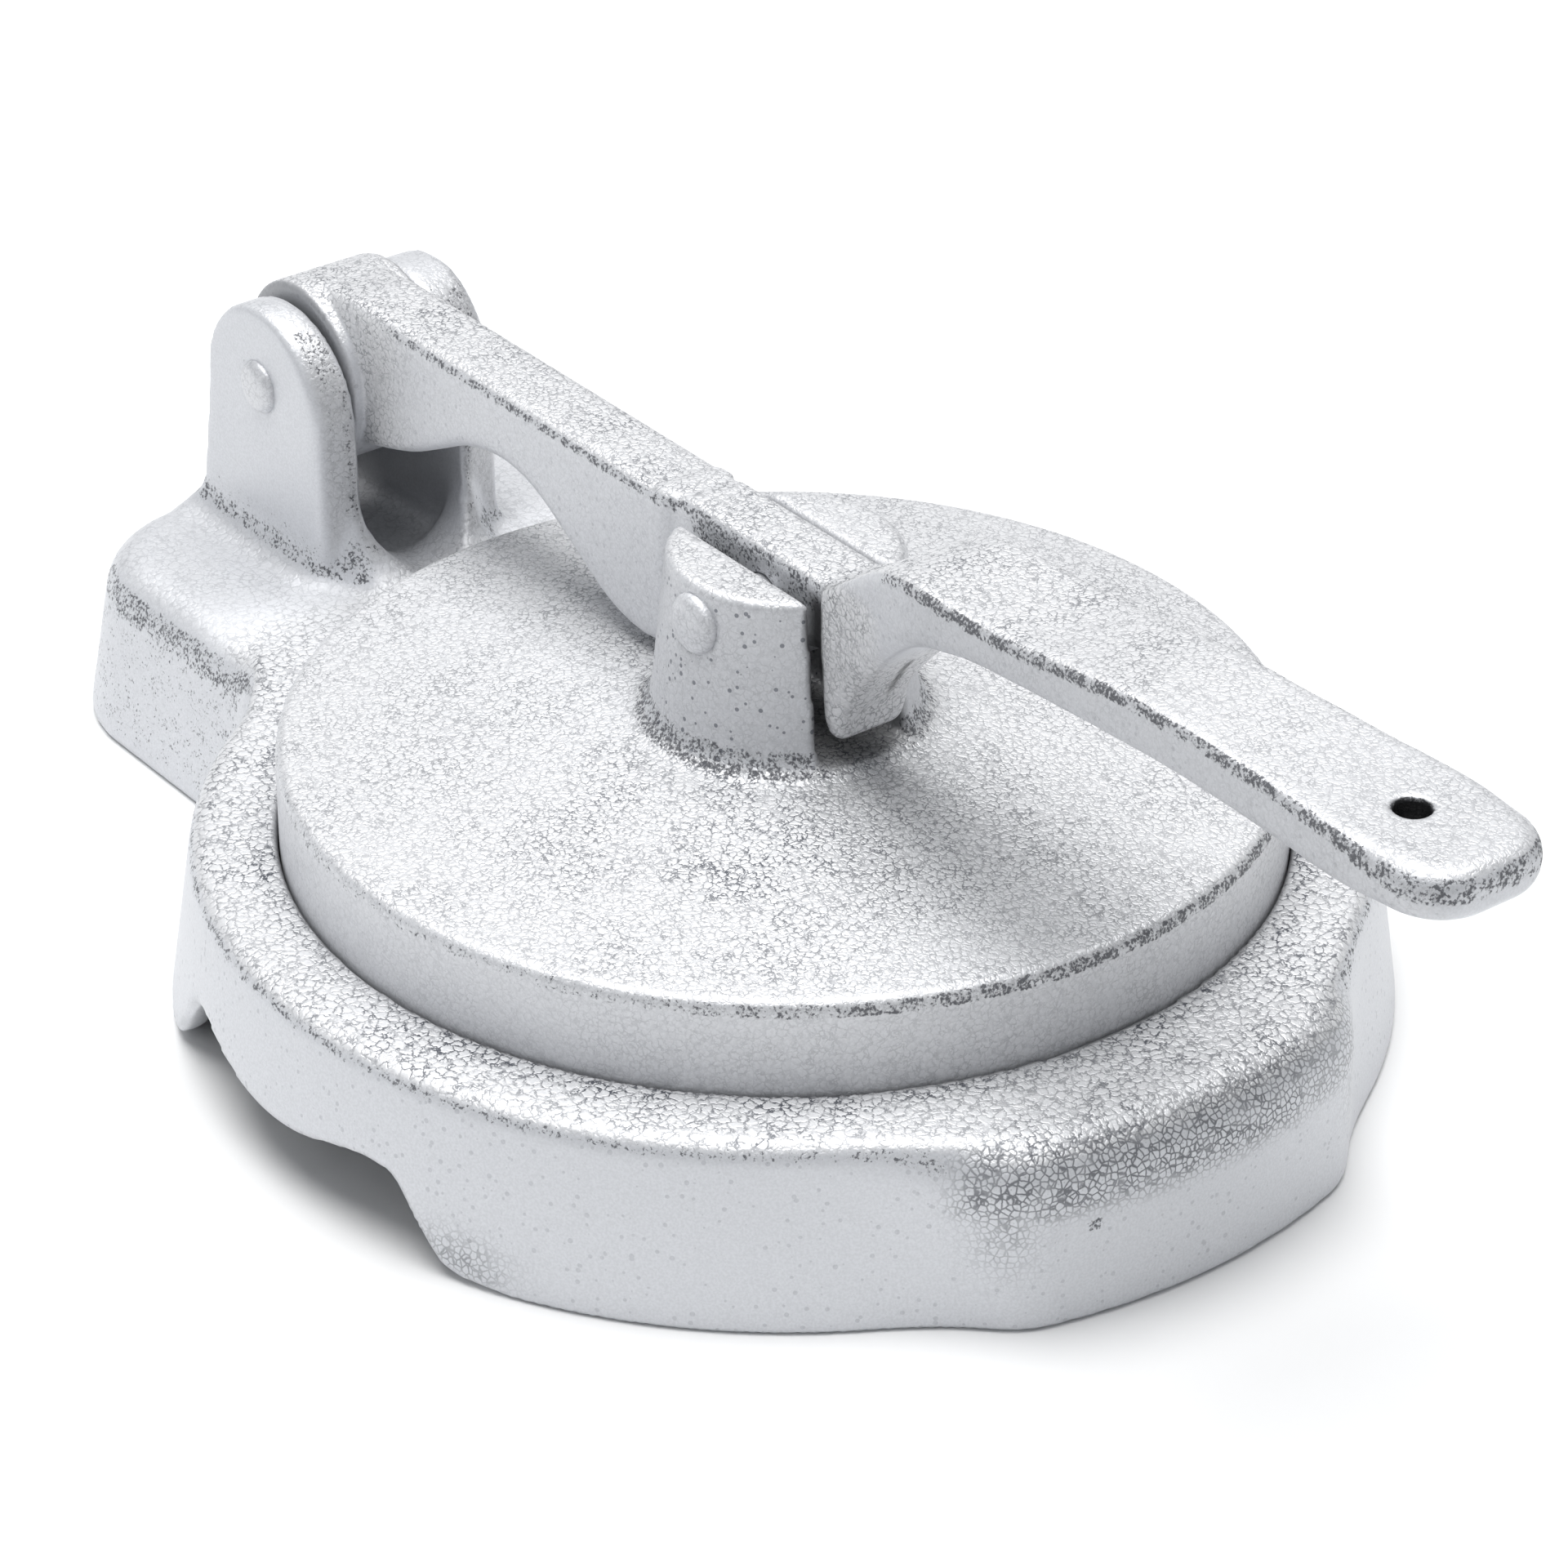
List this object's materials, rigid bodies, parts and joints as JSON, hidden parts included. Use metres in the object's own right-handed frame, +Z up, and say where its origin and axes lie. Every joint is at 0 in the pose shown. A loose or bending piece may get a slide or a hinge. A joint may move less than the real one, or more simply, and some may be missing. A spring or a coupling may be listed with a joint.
{
  "type": "burger press",
  "caption": "Hinged hand press: round mould on a hollow base, rear plinth with clevis, long lever with a flat handle, and a round press plate hung from the lever on a slotted post.",
  "frame": {"origin": "axis of the round mould, on the surface the press stands on; the middle of the whole press's box is within 1.3 mm of it", "axes": "+X from the rear hinge to the handle tip, +Z up, symmetric about the plane y = 0"},
  "size_m": [0.2134, 0.1334, 0.0674],
  "materials": {
    "hammered_enamel": "silver hammered enamel on cast aluminium",
    "hammered_enamel_pin": "peened pin under the same silver enamel"
  },
  "bodies": {
    "base": {"base_casting": "hammered_enamel", "hinge_pin": "hammered_enamel_pin"},
    "lever": {"lever_casting": "hammered_enamel"},
    "plate": {"press_plate": "hammered_enamel", "plate_pin": "hammered_enamel_pin"}
  },
  "joints": [
    {"name": "lever_hinge", "type": "hinge", "parent": "base", "child": "lever", "pos_m": [-0.0846, 0, 0.0422], "axis": [0, -1, 0], "range_deg": [0, 100]},
    {"name": "plate_hinge", "type": "hinge", "parent": "lever", "child": "plate", "pos_m": [0.001, 0, 0.049], "axis": [0, -1, 0], "range_deg": [-2.4, 0]}
  ],
  "couplings": [
    {"joint": "plate_hinge", "follows": "lever_hinge", "ratio": -0.024}
  ]
}
